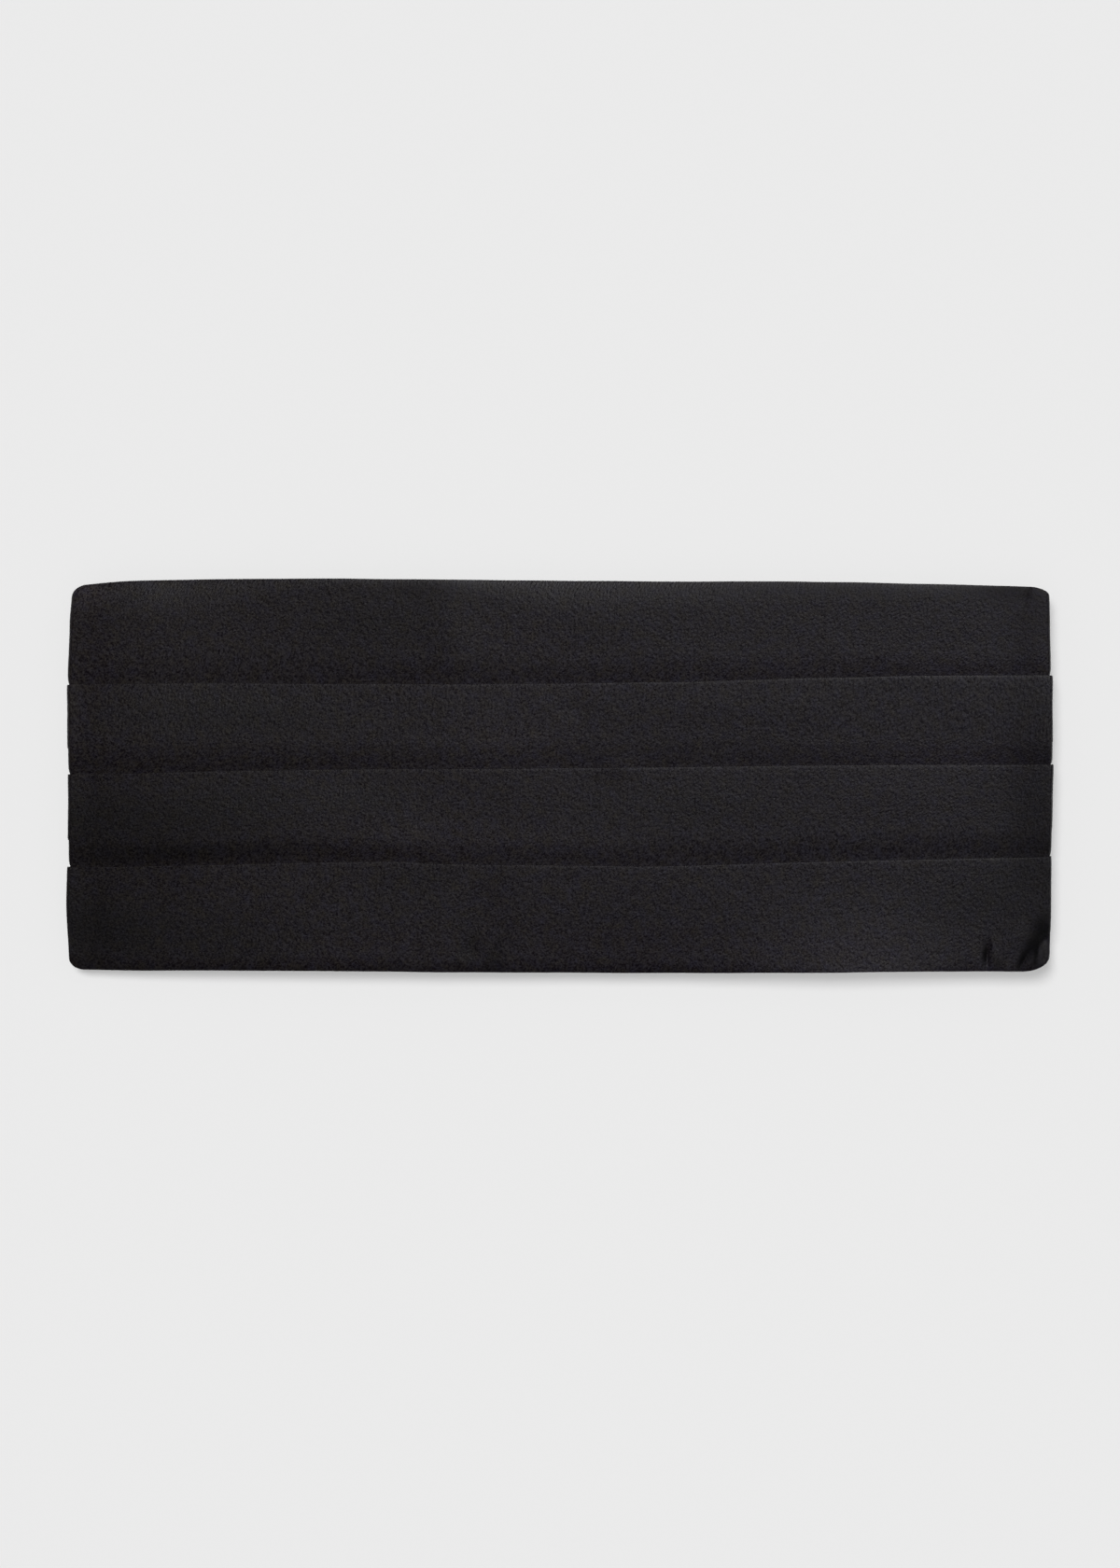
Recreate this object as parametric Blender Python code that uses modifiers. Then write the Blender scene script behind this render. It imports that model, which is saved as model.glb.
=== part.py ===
# Cummerbund of black satin, laid flat and face up, with both ends folded under.
# Metres, +Z up. The origin is on the table, under the middle of the folded form;
# +X runs along the length and +Y to the top edge, as worn.
#
# A point of the folded panel is named by three numbers. "along" is 0 at the middle,
# 1 where an end fold starts, 2 where it has turned under and 3 at the panel's end, with a
# minus sign on the left half. "across" is the place over the width of the open panel.
# "height" is measured outwards from the core that the panel is folded around.
import math

import bmesh
import bpy
from mathutils import Vector

MM = 0.001

CLOTH = 1.0 * MM  # wall of satin with its backing
GAP = 0.3 * MM  # between two pieces, and inside a turned edge
CORE = 1.2 * MM  # hidden layers where they are thinnest

TUCK = 9.0 * MM  # hidden depth of every pleat and hem
SLOPE = 1.0 * MM  # how far a tier sinks from its fold to the next one
DIVE = 1.8 * MM  # reach of the last dip, under the next fold, on the face
WING_DIVE = 2.6 * MM  # the same on the wings, whose tiers lie level
CLEAR = 0.8 * MM  # from the foot of that dip to the next fold

CORNER = 3.2 * MM  # how far a corner is drawn in where an end turns under
TAPER = 7.0 * MM  # further narrowing at each edge, down to a wing's end
EDGE_DROP = 1.5 * MM  # the face rounds down by this at its long edges
EDGE_BAND = 16.0 * MM  # over this width
WING_END = 14.0 * MM  # from the middle to each wing's end

# Lines over the width of the face, in millimetres, a row for each station along it.
LINES = [
    {"along": -164, "top": 64.5, "fold_2": 30.5, "fold_3": 0.8, "fold_4": -30.0, "bottom": -64.4},
    {"along": -123, "top": 65.1, "fold_2": 30.9, "fold_3": 1.5, "fold_4": -29.5, "bottom": -64.5},
    {"along": -82, "top": 65.4, "fold_2": 30.8, "fold_3": 2.2, "fold_4": -28.7, "bottom": -64.7},
    {"along": -41, "top": 65.1, "fold_2": 30.6, "fold_3": 2.5, "fold_4": -28.8, "bottom": -65.1},
    {"along": 0, "top": 64.7, "fold_2": 30.9, "fold_3": 2.7, "fold_4": -29.5, "bottom": -65.3},
    {"along": 41, "top": 64.5, "fold_2": 31.5, "fold_3": 3.1, "fold_4": -29.9, "bottom": -65.4},
    {"along": 82, "top": 64.5, "fold_2": 32.6, "fold_3": 3.6, "fold_4": -28.5, "bottom": -65.4},
    {"along": 123, "top": 63.7, "fold_2": 33.4, "fold_3": 3.6, "fold_4": -27.7, "bottom": -65.0},
    {"along": 164, "top": 62.6, "fold_2": 33.8, "fold_3": 3.7, "fold_4": -27.1, "bottom": -64.7},
]

# Reach of the two end folds from the middle, in millimetres, a row for each place across.
ENDS = [
    {"across": -60, "left": 163.0, "right": 162.6},
    {"across": -41, "left": 164.0, "right": 163.1},
    {"across": -29, "left": 163.4, "right": 163.1},
    {"across": 2, "left": 163.2, "right": 164.0},
    {"across": 31, "left": 163.4, "right": 163.4},
    {"across": 62, "left": 161.9, "right": 162.3},
]

FACE_STEPS = 14  # faces along the visible face
TURN_STEPS = 6  # round each end fold
WING_STEPS = 4  # along each wing
FOLD_STEPS = 4  # round each turned edge
TIER_STEPS = 3  # down the open part of a tier

LAYER_LEVELS = 6  # levels of the hidden layers' edge: three layers, two grooves
GROOVE = 0.5 * MM
EDGE_INSET = 1.2 * MM  # the hidden layers end this far inside the face
LAYER_RISE = 3.0 * MM  # width of each slope between their low and raised stretches
END_STEP = 1.5 * MM  # they rise over this length, just inside the wings' ends

STRAP_WIDTH = 26.0 * MM
STRAP_THICKNESS = 1.2 * MM
SLIDE_LENGTH = 14.0 * MM
SLIDE_WALL = 0.7 * MM
SLIDE_SIDE = 2.2 * MM

# Heights of the middle of the cloth, from the deepest layer of a pleat to the face.
UNDERLAY_MID = GAP + CLOTH / 2
RETURN_MID = UNDERLAY_MID + CLOTH + GAP
FACE_MID = RETURN_MID + CLOTH + GAP
MIDDLE_Z = CORE / 2 + FACE_MID + CLOTH / 2  # half of the folded thickness
TURN_RADIUS = (FACE_MID - RETURN_MID) / 2
HALF_WIDTH = 65.4 * MM
LIFT = RETURN_MID - CLOTH / 2 - GAP  # how far the hidden layers rise between pleats


def smooth_step(value):
    value = min(max(value, 0.0), 1.0)
    return value * value * (3 - 2 * value)


def read_table(rows, key, column, place):
    # A smooth curve through one column of a table, held level past its ends.
    place = min(max(place, rows[0][key]), rows[-1][key])
    last = len(rows) - 1
    index = 0
    while index < last - 1 and place > rows[index + 1][key]:
        index += 1
    start, end = rows[index], rows[index + 1]
    before, after = rows[max(index - 1, 0)], rows[min(index + 2, last)]
    span = end[key] - start[key]
    slope_start = (end[column] - before[column]) / (end[key] - before[key])
    slope_end = (after[column] - start[column]) / (after[key] - start[key])
    t = (place - start[key]) / span
    return (
        (2 * t**3 - 3 * t**2 + 1) * start[column]
        + (t**3 - 2 * t**2 + t) * span * slope_start
        + (3 * t**2 - 2 * t**3) * end[column]
        + (t**3 - t**2) * span * slope_end
    )


def bend_start(across, side):
    # Where the face ends and its end fold begins, at one place across.
    column = "right" if side > 0 else "left"
    return read_table(ENDS, "across", column, across / MM) * MM - MIDDLE_Z


def line_at(name, along):
    # One of the lines of the table, anywhere along the panel.
    side = math.copysign(1, along)
    station = side * min(abs(along), 1) * bend_start(0, side)
    return read_table(LINES, "along", name, station / MM) * MM


def narrow(across, drawn, tapered):
    # The panel narrows towards its ends: first its corners, then its whole width.
    share = across / HALF_WIDTH
    return across - drawn * CORNER * share**3 - tapered * TAPER * share


def face_share(part):
    # 1 on the face, 0 on the wings.
    return 1 - smooth_step(part - 1)


def place(along, across, height):
    # The folded panel: from (along, across, height) to a point in space.
    side = math.copysign(1, along)
    part = abs(along)
    bend = bend_start(across, side)
    edge = smooth_step((abs(across) - HALF_WIDTH + EDGE_BAND) / EDGE_BAND)
    radius = CORE / 2 + height - EDGE_DROP * edge * face_share(part)
    turn = math.pi * min(max(part - 1, 0), 1)
    wing = max(part - 2, 0)
    drawn = 1 - math.cos(min(turn, math.pi / 2))
    x = bend * min(part, 1) + radius * math.sin(turn) - wing * (bend - WING_END)
    y = narrow(across, drawn, wing)
    z = MIDDLE_Z + radius * math.cos(turn)
    return Vector((side * x, y, z))


def panel_columns():
    # Stations along the whole panel, from the left wing's end to the right one's.
    half = [2 * step / FACE_STEPS for step in range(FACE_STEPS // 2)]
    half += [1 + step / TURN_STEPS for step in range(TURN_STEPS)]
    half += [2 + step / WING_STEPS for step in range(WING_STEPS + 1)]
    return [-along for along in reversed(half[1:])] + half


def turned_edge(nose, direction):
    # Half round of a fold, from its hidden layer to its outer one.
    rows = []
    for step in range(FOLD_STEPS + 1):
        angle = math.pi * (step / FOLD_STEPS - 0.5)
        across = nose + direction * TURN_RADIUS * math.cos(angle)
        rows.append((across, (FACE_MID + RETURN_MID) / 2 + TURN_RADIUS * math.sin(angle)))
    return rows


def tier_section(fold, end, last_tier, level):
    # Rows down one tier: its hidden return, its fold, its face, and its lower edge, which
    # dips under the next tier or, on the last tier, is turned in as a hem. "level" is 0 on
    # the sloping face and 1 on the level wings.
    nose = fold - CLOTH / 2 - TURN_RADIUS
    rows = [(nose - TUCK, RETURN_MID)] + turned_edge(nose, 1)
    if last_tier:
        foot, sink = end + CLOTH / 2 + TURN_RADIUS, 0
    else:
        foot = end + CLEAR + DIVE + level * (WING_DIVE - DIVE)
        sink = SLOPE * (1 - level)
    for step in range(TIER_STEPS):
        share = step / (TIER_STEPS - 1)
        rows.append((nose - TUCK + share * (foot - nose + TUCK), FACE_MID - share * sink))
    if last_tier:
        rows += turned_edge(foot, -1)[-2::-1]
        rows.append((foot + TUCK, RETURN_MID))
    else:
        middle = (foot + end + CLEAR) / 2
        rows.append((middle, (FACE_MID - sink + UNDERLAY_MID) / 2))
        rows.append((end + CLEAR, UNDERLAY_MID))
        rows.append((end - TUCK, UNDERLAY_MID))
    return rows


def satin(name, color, roughness, metallic=0.0):
    material = bpy.data.materials.new(name)
    material.use_nodes = True
    shader = material.node_tree.nodes["Principled BSDF"]
    shader.inputs["Base Color"].default_value = (*color, 1)
    shader.inputs["Roughness"].default_value = roughness
    shader.inputs["Metallic"].default_value = metallic
    return material


def finish(name, bm, collection, material):
    # A named object from a bmesh, smooth where it is round.
    bmesh.ops.recalc_face_normals(bm, faces=bm.faces)
    mesh = bpy.data.meshes.new(name)
    bm.to_mesh(mesh)
    bm.free()
    mesh.shade_smooth()
    mesh.set_sharp_from_angle(angle=math.radians(50))
    mesh.materials.append(material)
    item = bpy.data.objects.new(name, mesh)
    collection.objects.link(item)
    return item


def make_tier(name, upper, lower, collection, material):
    # One tier of the pleated panel, whole: face, end folds and wings.
    columns = panel_columns()
    last_tier = lower == "bottom"
    sections = []
    for along in columns:
        level = 1 - face_share(abs(along))
        sections.append(tier_section(line_at(upper, along), line_at(lower, along), last_tier, level))
    across_steps = len(sections[0]) - 1
    along_steps = len(columns) - 1
    bm = bmesh.new()
    bmesh.ops.create_grid(bm, x_segments=along_steps, y_segments=across_steps, size=0.5)
    for vertex in bm.verts:
        column = round((vertex.co.x + 0.5) * along_steps)
        row = round((0.5 - vertex.co.y) * across_steps)
        across, height = sections[column][row]
        vertex.co = place(columns[column], across, height)
    item = finish(name, bm, collection, material)
    wall = item.modifiers.new("cloth", "SOLIDIFY")
    wall.thickness = CLOTH
    wall.offset = 0
    wall.use_even_offset = True
    return item


def layer_rows(along):
    # Rows over the hidden layers, as (across, lift): low under each pleat, raised between.
    rows = [(line_at("top", along) - EDGE_INSET, LIFT)]
    for name in ("fold_2", "fold_3", "fold_4"):
        fold = line_at(name, along)
        rows.append((fold + CLEAR + WING_DIVE + LAYER_RISE, LIFT))
        rows.append((fold + CLEAR + WING_DIVE, 0))
        rows.append((fold - TUCK - LAYER_RISE, 0))
        rows.append((fold - TUCK - 2 * LAYER_RISE, LIFT))
    rows.append((line_at("bottom", along) + EDGE_INSET, LIFT))
    return rows


def layer_columns():
    # Stations over the hidden layers: two at each wing's end, and the tiers' own from there.
    reach = bend_start(0, 1)
    half = [0, (WING_END + END_STEP) / reach, (WING_END + 3 * END_STEP) / reach]
    half += [2 * step / FACE_STEPS for step in range(2, FACE_STEPS // 2 + 1)]
    return [-along for along in reversed(half[1:])] + half


def layers_underside(along, across, lift):
    # A point of the hidden layers' underside, which the wings cover up to their ends.
    side = math.copysign(1, along)
    bend = bend_start(across, side)
    x = bend * abs(along)
    wing = min((bend - x) / (bend - WING_END), 1)
    covered = x > WING_END + 2 * END_STEP
    depth = CORE / 2 + (lift if covered else 0)
    return Vector((side * x, narrow(across, 1, wing), MIDDLE_Z - depth))


def make_inner_layers(collection, material):
    # The hidden layers between face and wings, as one solid with layered long edges. Under
    # the face they follow its lines, and over each wing the lines it left the face with.
    columns = layer_columns()
    sections = [layer_rows(along) for along in columns]
    wing_sections = [layer_rows(math.copysign(1, along)) for along in columns]
    steps = (len(columns) - 1, len(sections[0]) - 1, LAYER_LEVELS)
    bm = bmesh.new()
    bmesh.ops.create_cube(bm, size=1)
    for axis in range(3):
        along_axis = []
        for edge in bm.edges:
            direction = edge.verts[1].co - edge.verts[0].co
            if abs(direction[axis]) > 0.5 * direction.length:
                along_axis.append(edge)
        bmesh.ops.subdivide_edges(bm, edges=along_axis, cuts=steps[axis] - 1, use_grid_fill=True)
    for vertex in bm.verts:
        column = round((vertex.co.x + 0.5) * steps[0])
        row = round((0.5 - vertex.co.y) * steps[1])
        level = round((vertex.co.z + 0.5) * steps[2])
        share = level / steps[2]
        along = columns[column]
        across, lift = sections[column][row]
        if column in (0, steps[0]):
            point = place(math.copysign(2 - share, along), across, lift)
        else:
            above = place(along, across, lift)
            point = layers_underside(along, *wing_sections[column][row]).lerp(above, share)
        if row in (0, steps[1]):
            outermost = level % 2 == 1
            point.y -= math.copysign(0 if outermost else GROOVE, across)
        vertex.co = point
    return finish("inner_layers", bm, collection, material)


def box(name, size, center, collection, material):
    bm = bmesh.new()
    bmesh.ops.create_cube(bm, size=1)
    bmesh.ops.scale(bm, vec=size, verts=bm.verts)
    item = finish(name, bm, collection, material)
    item.location = center
    return item


def make_strap(collection, cutters, cloth, steel):
    # The waist strap over the gap between the wings' ends, with the slide that sets it.
    slot = STRAP_THICKNESS + 2 * GAP
    height = slot + 2 * SLIDE_WALL
    middle = MIDDLE_Z - CORE / 2 - GAP - height / 2
    length = 2 * (WING_END - GAP)
    box("strap", (length, STRAP_WIDTH, STRAP_THICKNESS), (0, 0, middle), collection, cloth)
    width = STRAP_WIDTH + 2 * GAP + 2 * SLIDE_SIDE
    slide = box("strap_slide", (SLIDE_LENGTH, width, height), (0, 0, middle), collection, steel)
    opening = (2 * SLIDE_LENGTH, STRAP_WIDTH + 2 * GAP, slot)
    cutter = box("slide_slot", opening, (0, 0, middle), cutters, steel)
    cutter.hide_render = True
    cutter.display_type = "WIRE"
    cut = slide.modifiers.new("slot", "BOOLEAN")
    cut.operation = "DIFFERENCE"
    cut.solver = "EXACT"
    cut.object = cutter


def build():
    for item in list(bpy.data.objects):
        bpy.data.objects.remove(item, do_unlink=True)
    scene = bpy.context.scene
    cummerbund = bpy.data.collections.new("cummerbund")
    cutters = bpy.data.collections.new("cutters")
    scene.collection.children.link(cummerbund)
    scene.collection.children.link(cutters)

    face_satin = satin("black_satin", (0.012, 0.011, 0.0125), 0.45)
    make_tier("pleat_1_top", "top", "fold_2", cummerbund, face_satin)
    make_tier("pleat_2", "fold_2", "fold_3", cummerbund, face_satin)
    make_tier("pleat_3", "fold_3", "fold_4", cummerbund, face_satin)
    make_tier("pleat_4_bottom", "fold_4", "bottom", cummerbund, face_satin)
    make_inner_layers(cummerbund, satin("black_lining", (0.010, 0.010, 0.011), 0.6))
    elastic = satin("black_elastic", (0.013, 0.013, 0.014), 0.8)
    steel = satin("black_steel", (0.02, 0.02, 0.022), 0.35, 1.0)
    make_strap(cummerbund, cutters, elastic, steel)


build()
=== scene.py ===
import math

import bmesh
import bpy
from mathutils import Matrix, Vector, noise


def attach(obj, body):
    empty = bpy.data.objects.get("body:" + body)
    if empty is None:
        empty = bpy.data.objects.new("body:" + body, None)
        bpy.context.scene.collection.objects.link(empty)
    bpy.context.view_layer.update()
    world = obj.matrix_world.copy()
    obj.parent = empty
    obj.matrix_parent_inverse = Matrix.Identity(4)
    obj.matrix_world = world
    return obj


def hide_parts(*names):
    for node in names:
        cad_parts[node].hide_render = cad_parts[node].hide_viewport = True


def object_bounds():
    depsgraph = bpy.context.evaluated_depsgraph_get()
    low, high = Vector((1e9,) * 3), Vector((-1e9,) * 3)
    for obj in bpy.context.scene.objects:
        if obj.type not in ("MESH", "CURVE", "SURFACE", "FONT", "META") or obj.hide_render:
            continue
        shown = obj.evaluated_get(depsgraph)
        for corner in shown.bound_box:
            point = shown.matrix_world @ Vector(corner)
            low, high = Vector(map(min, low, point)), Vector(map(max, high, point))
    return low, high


# A black satin cummerbund lying face up, its ends turned under. Metres, +Z up.
# "along" runs down the panel: 0 middle, 1 where an end starts to turn, 2 turned under, 3 its end.

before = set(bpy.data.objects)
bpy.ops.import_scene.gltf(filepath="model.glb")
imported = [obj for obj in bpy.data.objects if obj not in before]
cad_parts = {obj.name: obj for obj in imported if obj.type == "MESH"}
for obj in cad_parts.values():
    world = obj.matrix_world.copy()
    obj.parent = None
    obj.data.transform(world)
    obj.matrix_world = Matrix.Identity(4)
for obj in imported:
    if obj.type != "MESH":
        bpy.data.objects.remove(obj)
cadLow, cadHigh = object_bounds()
print("frame loaded:", len(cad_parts), "nodes")

mm = 0.001

# the folded panel, shared by every tier
panel = {
    "core": 1.2 * mm,  # what is left between face and wings
    "cloth": 0.25 * mm,
    "fold": 0.50 * mm,  # a pressed fold, over its two layers
    "layerGap": 0.05 * mm,
    "crown": 0.06 * mm,  # a fold is pressed thinner than the cloth behind it
    "crownWidth": 1.0 * mm,
    "pressWidth": 1.2 * mm,  # a pressed fold's shine fades over this
    "billow": 0.12 * mm,
    "billowEven": 0.5,  # the part of the billow that is the same everywhere
    "tuck": 9.0 * mm,  # hidden depth of pleats and hems
    "patternStep": 70 * mm,  # the thread pattern starts this much later on each tier
    "paintedShadeLeast": 0.15,  # the darkest the painted shade gets
    "dipBend": 0.75,  # a tier bends down over this share of its dip, then runs straight
    "dipClear": 0.1 * mm,  # from the dip's foot to the line of the fold below
    "dipHold": 6,  # power; how far down the dip a turned end keeps its reach
    "levelOut": {"fold2": 0.0, "fold3": 0.15, "fold4": 0.45},  # how level a tier passes under
    "levelEase": 1.5,
    "endRound": 1.6 * mm,  # the turned ends are pressed this tight, seen from above
    "endSquare": 0.78,
    "endPart": 0.35,  # where down a tier the second of its end measures is
    "cornerEase": 4,  # power; how soon the corners' round fades towards the middle
    "sinkEase": 1.6,
    "topDrop": 0.9 * mm,  # the long edges round down by this
    "topBand": 10.5 * mm,
    "topLeast": 0.2,  # share of the band left where the top edge is hardly round
    "topEase": 2.3,
    "bottomDrop": 1.1 * mm,
    "bottomBand": 5.0 * mm,
    "bottomLimit": 0.97,  # the round stops just short of upright
    "taper": 7.0 * mm,
    "wingEnd": 14.0 * mm,
    "wingCrease": 0.7,  # share of the face's creases that the wings take
    "wingMirror": 0.9,  # and they are read this much nearer the middle, mirrored
    "wingFade": 0.5,  # share of a wing over which its creases fade out
}

# smooth unevenness: how much, how fast it changes along and across, and where in the noise it is read
uneven = {
    "face": {"by": 0.12 * mm, "along": 16, "across": 22, "start": 3.7},
    "faceFine": {"by": 0.024 * mm, "along": 70, "across": 90, "start": 9.1},
    "folds": {"by": 0.12 * mm, "along": 9, "across": 5, "start": 1.3},
    "valleys": {"by": 0.25, "along": 5, "across": 3, "start": 7.7},
    "billow": {"by": 1, "along": 5, "across": 30, "apart": 11},
    "layers": {"by": 0.8 * mm, "along": 20, "across": 4.3, "apart": 2},
}

# the face sinks towards its ends: how much, and over what length, in mm
endSinks = {
    (-1, 1): (0.9, 26.0),
    (-1, -1): (1.7, 44.0),
    (1, 1): (-0.2, 18.0),
    (1, -1): (-1.4, 34.0),
}

# lines over the face at places along it, in mm: the edges and folds, from the middle of its width;
# "sag", how far above a fold the tier starts to dip, and "belly", how much it swells before that;
# "round" and "hem" are shares, how round the top and bottom edges are
lines = {
    "along": (-164, -145, -123, -82, -55, -41, 0, 36, 82, 123, 164),
    "top": (63.0, 64.6, 65.1, 65.4, 65.2, 65.1, 64.7, 64.5, 64.4, 63.6, 62.5),
    "fold2": (30.42, 30.52, 30.82, 30.55, 30.57, 30.47, 30.77, 31.17, 32.47, 33.27, 33.45),
    "fold3": (0.55, 0.84, 1.42, 2.12, 2.37, 2.37, 2.67, 2.98, 3.58, 3.76, 3.86),
    "fold4": (-30.3, -30.12, -29.58, -28.6, -28.25, -29.03, -29.5, -29.75, -28.45, -27.55, -26.65),
    "bottom": (-64.3, -64.5, -64.5, -64.6, -64.85, -65.0, -65.15, -65.25, -65.1, -64.7, -64.65),
    "sag2": (12, 12, 12, 11, 10.5, 10.5, 9.5, 9.5, 9.5, 8, 8.5),
    "sag3": (10, 10, 10, 11, 11, 10.5, 10.5, 10.5, 10, 9, 9),
    "sag4": (10, 10, 10, 8.5, 7.5, 8, 9, 10.5, 10.5, 10.5, 10.5),
    "belly2": (0.05, 0.1, 0.1, 0.1, 0.12, 0.12, 0.08, 0.05, 0, 0, 0),
    "belly3": (0.35, 0.4, 0.4, 0.3, 0.15, 0.05, 0, 0, 0, 0, 0.2),
    "belly4": (0.5, 0.6, 0.65, 0.6, 0.4, 0.2, 0.05, 0.1, 0.1, 0.1, 0.2),
    "round": (1.2, 1.3, 1.5, 0.25, 0.2, 0.3, 1.0, 1.0, 0.75, 0.5, 0.3),
    "hem": (1.0, 1.0, 1.0, 1.0, 1.0, 1.0, 1.0, 0.8, 0.0, 0.0, 0.9),
}

# each tier, with how far its turned ends stay inside the whole length, in mm,
# at its fold, a third of the way down and at its lower edge
tiers = [
    {"node": "pleat_1_top", "piece": "tierTop", "upper": "top", "lower": "fold2",
     "left": (2.0, 1.45, 0.75), "right": (1.4, 1.3, 0.95)},
    {"node": "pleat_2", "piece": "tierSecond", "upper": "fold2", "lower": "fold3",
     "left": (0.5, 0.85, 1.0), "right": (0.3, 0.5, 0.5)},
    {"node": "pleat_3", "piece": "tierThird", "upper": "fold3", "lower": "fold4",
     "left": (0.8, 1.15, 1.1), "right": (0.1, 0.6, 0.85)},
    {"node": "pleat_4_bottom", "piece": "tierBottom", "upper": "fold4", "lower": "bottom",
     "left": (0.5, 0.3, 1.1), "right": (0.8, 0.95, 1.3)},
]

# round of the four corners seen from above, mm along and across
corners = {
    (-1, 1): (5.0, 5.4),
    (1, 1): (7.2, 4.2),
    (-1, -1): (5.2, 4.3),
    (1, -1): (10.0, 6.4),
}

# soft troughs (minus) and ridges (plus): place, turn in degrees, half length and half width, and
# height, in mm; "lee" is the half width on the side to the right of the turn's direction, where it
# differs; a sharp one steepens all the way down to its line
creases = [
    {"at": (161.0, -53.4), "turn": 48, "size": (3.4, 2.4), "lee": 7.0, "high": -2.6, "sharp": True},
    {"at": (158.4, -58.4), "turn": 80, "size": (3.5, 1.4), "lee": 6.0, "high": -1.9, "sharp": True},
    {"at": (154.0, -60.8), "turn": 58, "size": (3.8, 1.1), "lee": 1.0, "high": -1.4, "sharp": True},
    {"at": (158.4, -62.6), "size": (4.2, 4.2), "high": 1.0},
    {"at": (150.6, -53.6), "turn": 60, "size": (8.0, 3.0), "high": 0.3},
    {"at": (141.7, -59.2), "turn": 88, "size": (3.4, 0.9), "lee": 0.6, "high": -1.2, "sharp": True},
    {"at": (143.6, -59.6), "turn": 80, "size": (3.6, 1.2), "high": 0.2},
    {"at": (148.5, -66.0), "size": (3.4, 3.0), "high": 0.5},
    {"at": (157.5, 48.0), "turn": 91, "size": (14.0, 5.0), "high": 0.25},
    {"at": (150.0, -8.0), "turn": 88, "size": (26.0, 8.0), "high": -0.35},
    {"at": (-157.0, 40.0), "turn": 88, "size": (26.0, 5.0), "high": -0.3},
    {"at": (-157.0, 0.0), "turn": 91, "size": (20.0, 5.0), "high": -0.3},
    {"at": (-156.0, -46.0), "turn": 90, "size": (20.0, 5.0), "high": -0.35},
    {"at": (154.4, 59.6), "turn": 70, "size": (3.0, 1.0), "high": -0.4},
    {"at": (-25.0, -46.0), "turn": 74, "size": (12.0, 5.5), "high": -0.4},
    {"at": (-14.0, -46.5), "turn": 75, "size": (13.0, 6.0), "high": 0.12},
    {"at": (-29.0, -58.5), "turn": 80, "size": (5.0, 3.0), "high": -0.35},
    {"at": (-47.5, -60.0), "turn": 84, "size": (5.0, 2.0), "high": -0.3},
    {"at": (4.8, 22.0), "turn": 20, "size": (5.0, 3.5), "high": -0.25},
    {"at": (20.3, 3.0), "turn": 10, "size": (6.0, 3.5), "high": 0.3},
    {"at": (-134.0, -38.0), "turn": 60, "size": (14.0, 8.0), "high": -0.4},
    {"at": (96.0, -74.0), "turn": 4, "size": (38.0, 23.0), "high": 1.6},
    {"at": (-37.0, 52.0), "turn": 95, "size": (22.0, 8.5), "high": 0.38},
    {"at": (-68.0, 64.0), "size": (36.0, 24.0), "high": 0.65},
    {"at": (-26.0, 3.0), "size": (26.0, 13.0), "high": 0.35},
    {"at": (14.0, -30.0), "size": (42.0, 20.0), "high": 0.5},
    {"at": (20.0, -68.0), "turn": 3, "size": (34.0, 15.0), "high": -0.4},
    {"at": (-158.0, -66.0), "size": (48.0, 44.0), "high": -1.7},
    {"at": (-140.0, 8.0), "size": (44.0, 26.0), "high": 0.7},
    {"at": (166.0, 8.0), "size": (24.0, 26.0), "high": 0.5},
]
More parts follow.
